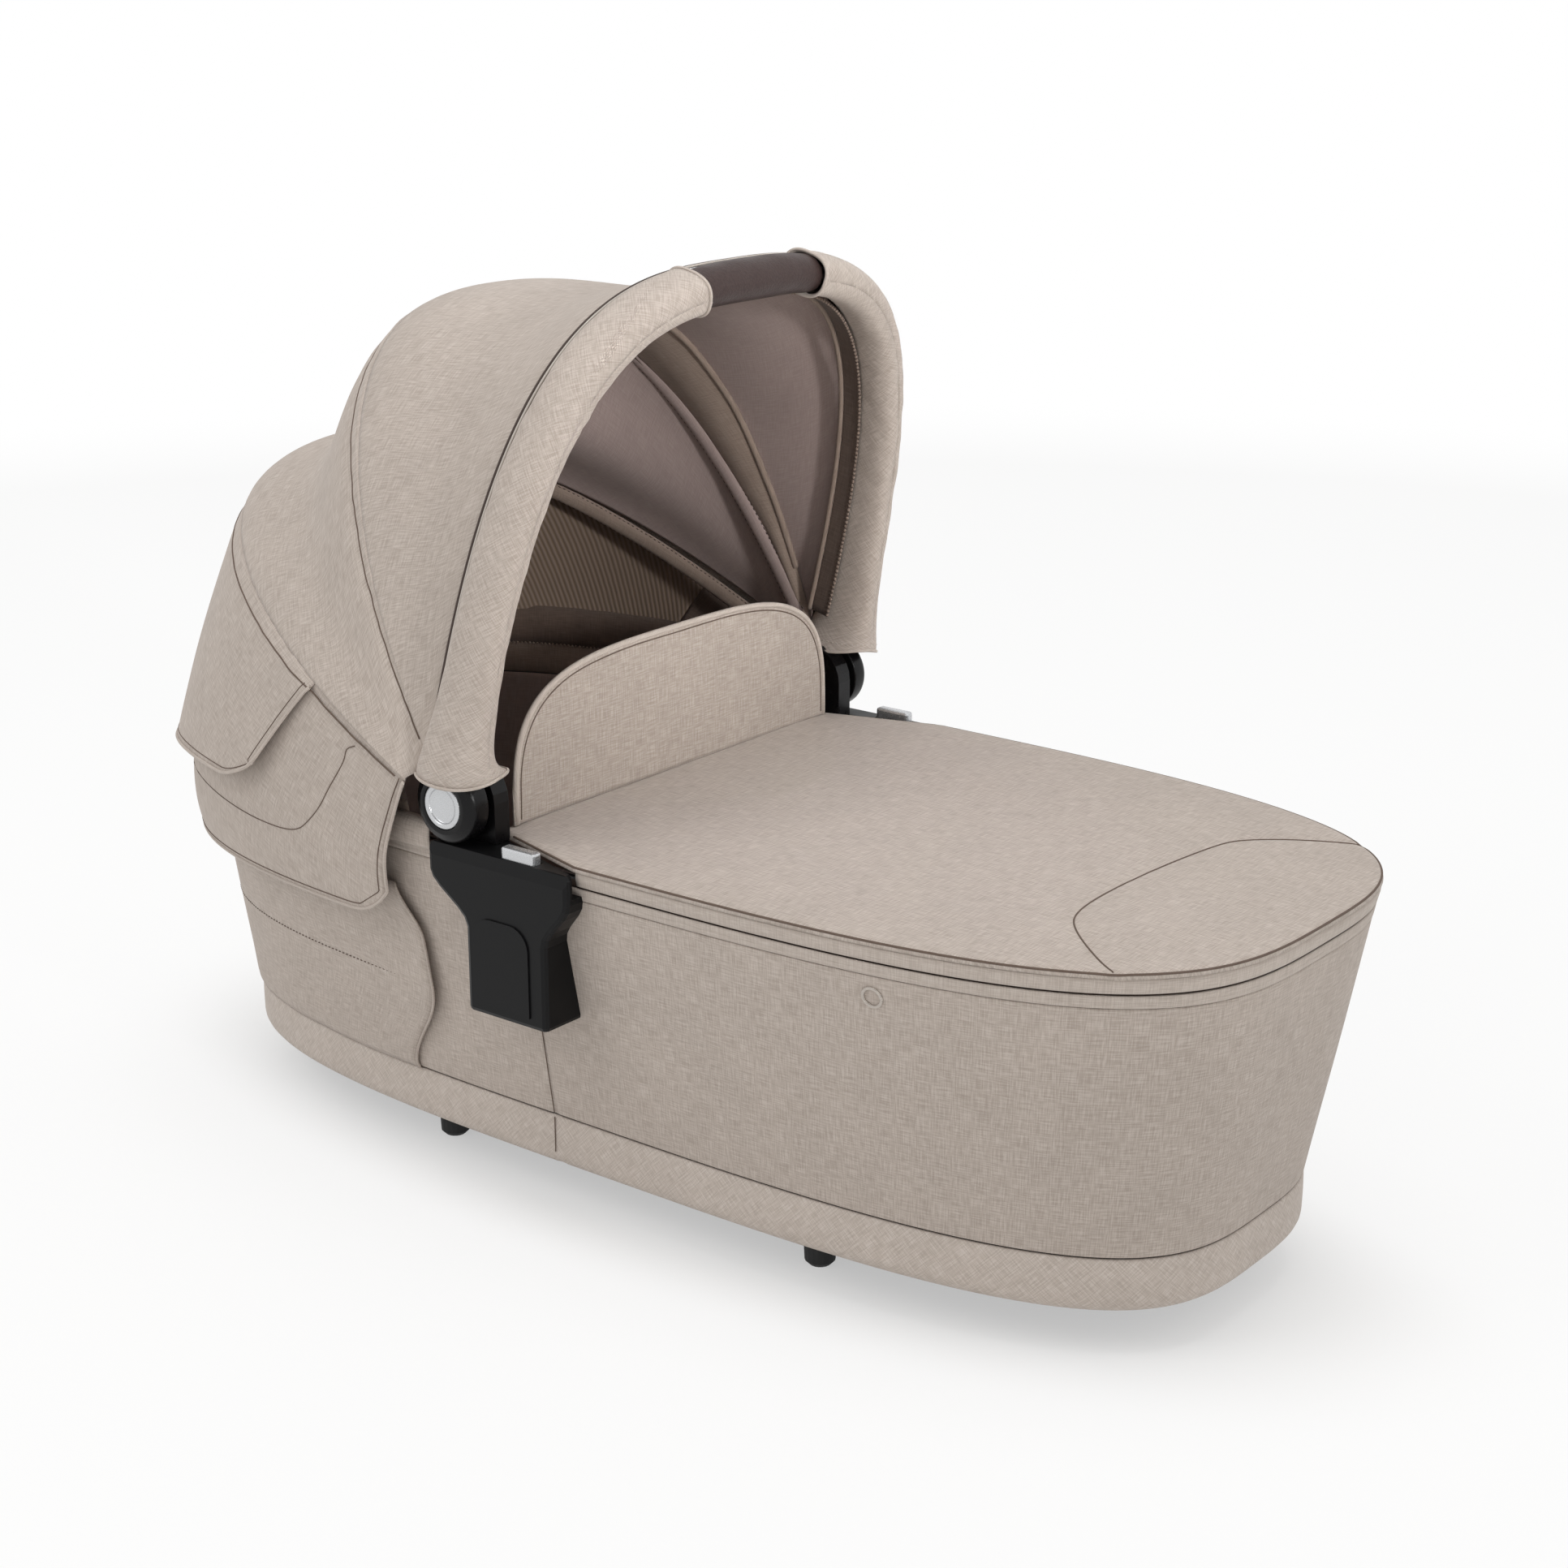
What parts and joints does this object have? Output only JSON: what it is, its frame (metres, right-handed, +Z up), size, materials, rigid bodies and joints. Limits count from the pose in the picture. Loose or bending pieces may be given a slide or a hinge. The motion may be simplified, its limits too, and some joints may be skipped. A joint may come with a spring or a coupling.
{
  "type": "carrycot",
  "caption": "Oval fabric carrycot with a folding bow canopy, arched carrying handle, zipped apron with wind flap, side brackets and feet.",
  "frame": {"origin": "on the floor under the middle of the overall box", "axes": "+X to the foot end, +Z up, +Y to the left side; the picture shows the right side (-Y)"},
  "size_m": [0.9416, 0.4556, 0.6445],
  "materials": {
    "linen_cloth": "cross-slubbed linen-look weave, matt",
    "lining_cloth": "plain jersey, matt",
    "mattress_cloth": "quilted jersey over foam",
    "leatherette": "fine-grained leatherette, satin",
    "black_plastic": "satin moulded",
    "black_rubber": "moulded, matt",
    "silver_paint": "satin silver",
    "steel": "drawn, plain",
    "aluminium": "extruded, plain",
    "wall_board": "corrugated board, plain",
    "zip_tape": "woven tape with a coil zip",
    "piping_tape": "woven binding tape"
  },
  "bodies": {
    "shell": {"outer_cover": "linen_cloth", "base_cover": "linen_cloth", "base_tray": "black_plastic", "wall_board": "wall_board", "rim_frame": "black_plastic", "rim_zip": "zip_tape", "lining": "lining_cloth", "mattress": "mattress_cloth", "apron": "linen_cloth", "head_vent_cover": "linen_cloth", "foot_rear_left": "black_rubber", "foot_rear_right": "black_rubber", "foot_front_left": "black_rubber", "foot_front_right": "black_rubber", "bracket_left": "black_plastic", "bracket_right": "black_plastic", "hub_post_left": "black_plastic", "hub_post_right": "black_plastic", "pivot_pin_left": "steel", "pivot_pin_right": "steel", "release_spring_left": "steel", "release_spring_right": "steel"},
    "handle": {"handle_tube": "aluminium", "grip": "leatherette", "handle_sleeve_left": "linen_cloth", "handle_sleeve_right": "linen_cloth", "hub_drum_left": "black_plastic", "hub_drum_right": "black_plastic", "hub_spring_left": "steel", "hub_spring_right": "steel"},
    "rear_bow": {"bow_rear": "steel", "canopy_skirt": "linen_cloth", "vent_flap": "linen_cloth"},
    "mid_bow": {"bow_mid": "steel", "canopy_rear_panel": "linen_cloth"},
    "canopy_front": {"canopy_front_hem": "piping_tape", "canopy_front_panel": "linen_cloth"},
    "wind_flap": {"wind_flap": "linen_cloth"},
    "hub_button_left": {"hub_button_left": "silver_paint"},
    "hub_button_right": {"hub_button_right": "silver_paint"},
    "release_left": {"release_button_left": "silver_paint", "release_latch_left": "black_plastic"},
    "release_right": {"release_button_right": "silver_paint", "release_latch_right": "black_plastic"}
  },
  "joints": [
    {"name": "handle_fold", "type": "hinge", "parent": "shell", "child": "handle", "pos_m": [-0.065, 0, 0.3], "axis": [0, -1, 0], "range_deg": [0, 85]},
    {"name": "rear_bow_turn", "type": "hinge", "parent": "shell", "child": "rear_bow", "pos_m": [-0.065, 0, 0.3], "axis": [0, -1, 0], "range_deg": [0, 21.25], "deforming": ["canopy_skirt", "vent_flap"]},
    {"name": "mid_bow_turn", "type": "hinge", "parent": "rear_bow", "child": "mid_bow", "pos_m": [-0.065, 0, 0.3], "axis": [0, -1, 0], "range_deg": [0, 27.2], "deforming": ["canopy_rear_panel"]},
    {"name": "canopy_front_turn", "type": "hinge", "parent": "mid_bow", "child": "canopy_front", "pos_m": [-0.065, 0, 0.3], "axis": [0, -1, 0], "range_deg": [0, 36.55], "deforming": ["canopy_front_panel"]},
    {"name": "wind_flap_fold", "type": "hinge", "parent": "shell", "child": "wind_flap", "pos_m": [-0.0375, 0, 0.2783], "axis": [0, 1, 0], "range_deg": [0, 82]},
    {"name": "hub_button_press_left", "type": "slide", "parent": "handle", "child": "hub_button_left", "axis": [0, -1, 0], "range_m": [0, 0.0035], "stiffness_N_per_m": 400, "springref_m": -0.001, "deforming": ["hub_spring_left"]},
    {"name": "release_press_left", "type": "slide", "parent": "shell", "child": "release_left", "axis": [0, 0, -1], "range_m": [0, 0.005], "stiffness_N_per_m": 400, "springref_m": -0.001, "deforming": ["release_spring_left"]},
    {"name": "hub_button_press_right", "type": "slide", "parent": "handle", "child": "hub_button_right", "axis": [0, 1, 0], "range_m": [0, 0.0035], "stiffness_N_per_m": 400, "springref_m": -0.001, "deforming": ["hub_spring_right"]},
    {"name": "release_press_right", "type": "slide", "parent": "shell", "child": "release_right", "axis": [0, 0, -1], "range_m": [0, 0.005], "stiffness_N_per_m": 400, "springref_m": -0.001, "deforming": ["release_spring_right"]}
  ],
  "couplings": [
    {"joint": "rear_bow_turn", "follows": "handle_fold", "ratio": 0.25},
    {"joint": "mid_bow_turn", "follows": "handle_fold", "ratio": 0.32},
    {"joint": "canopy_front_turn", "follows": "handle_fold", "ratio": 0.43}
  ]
}
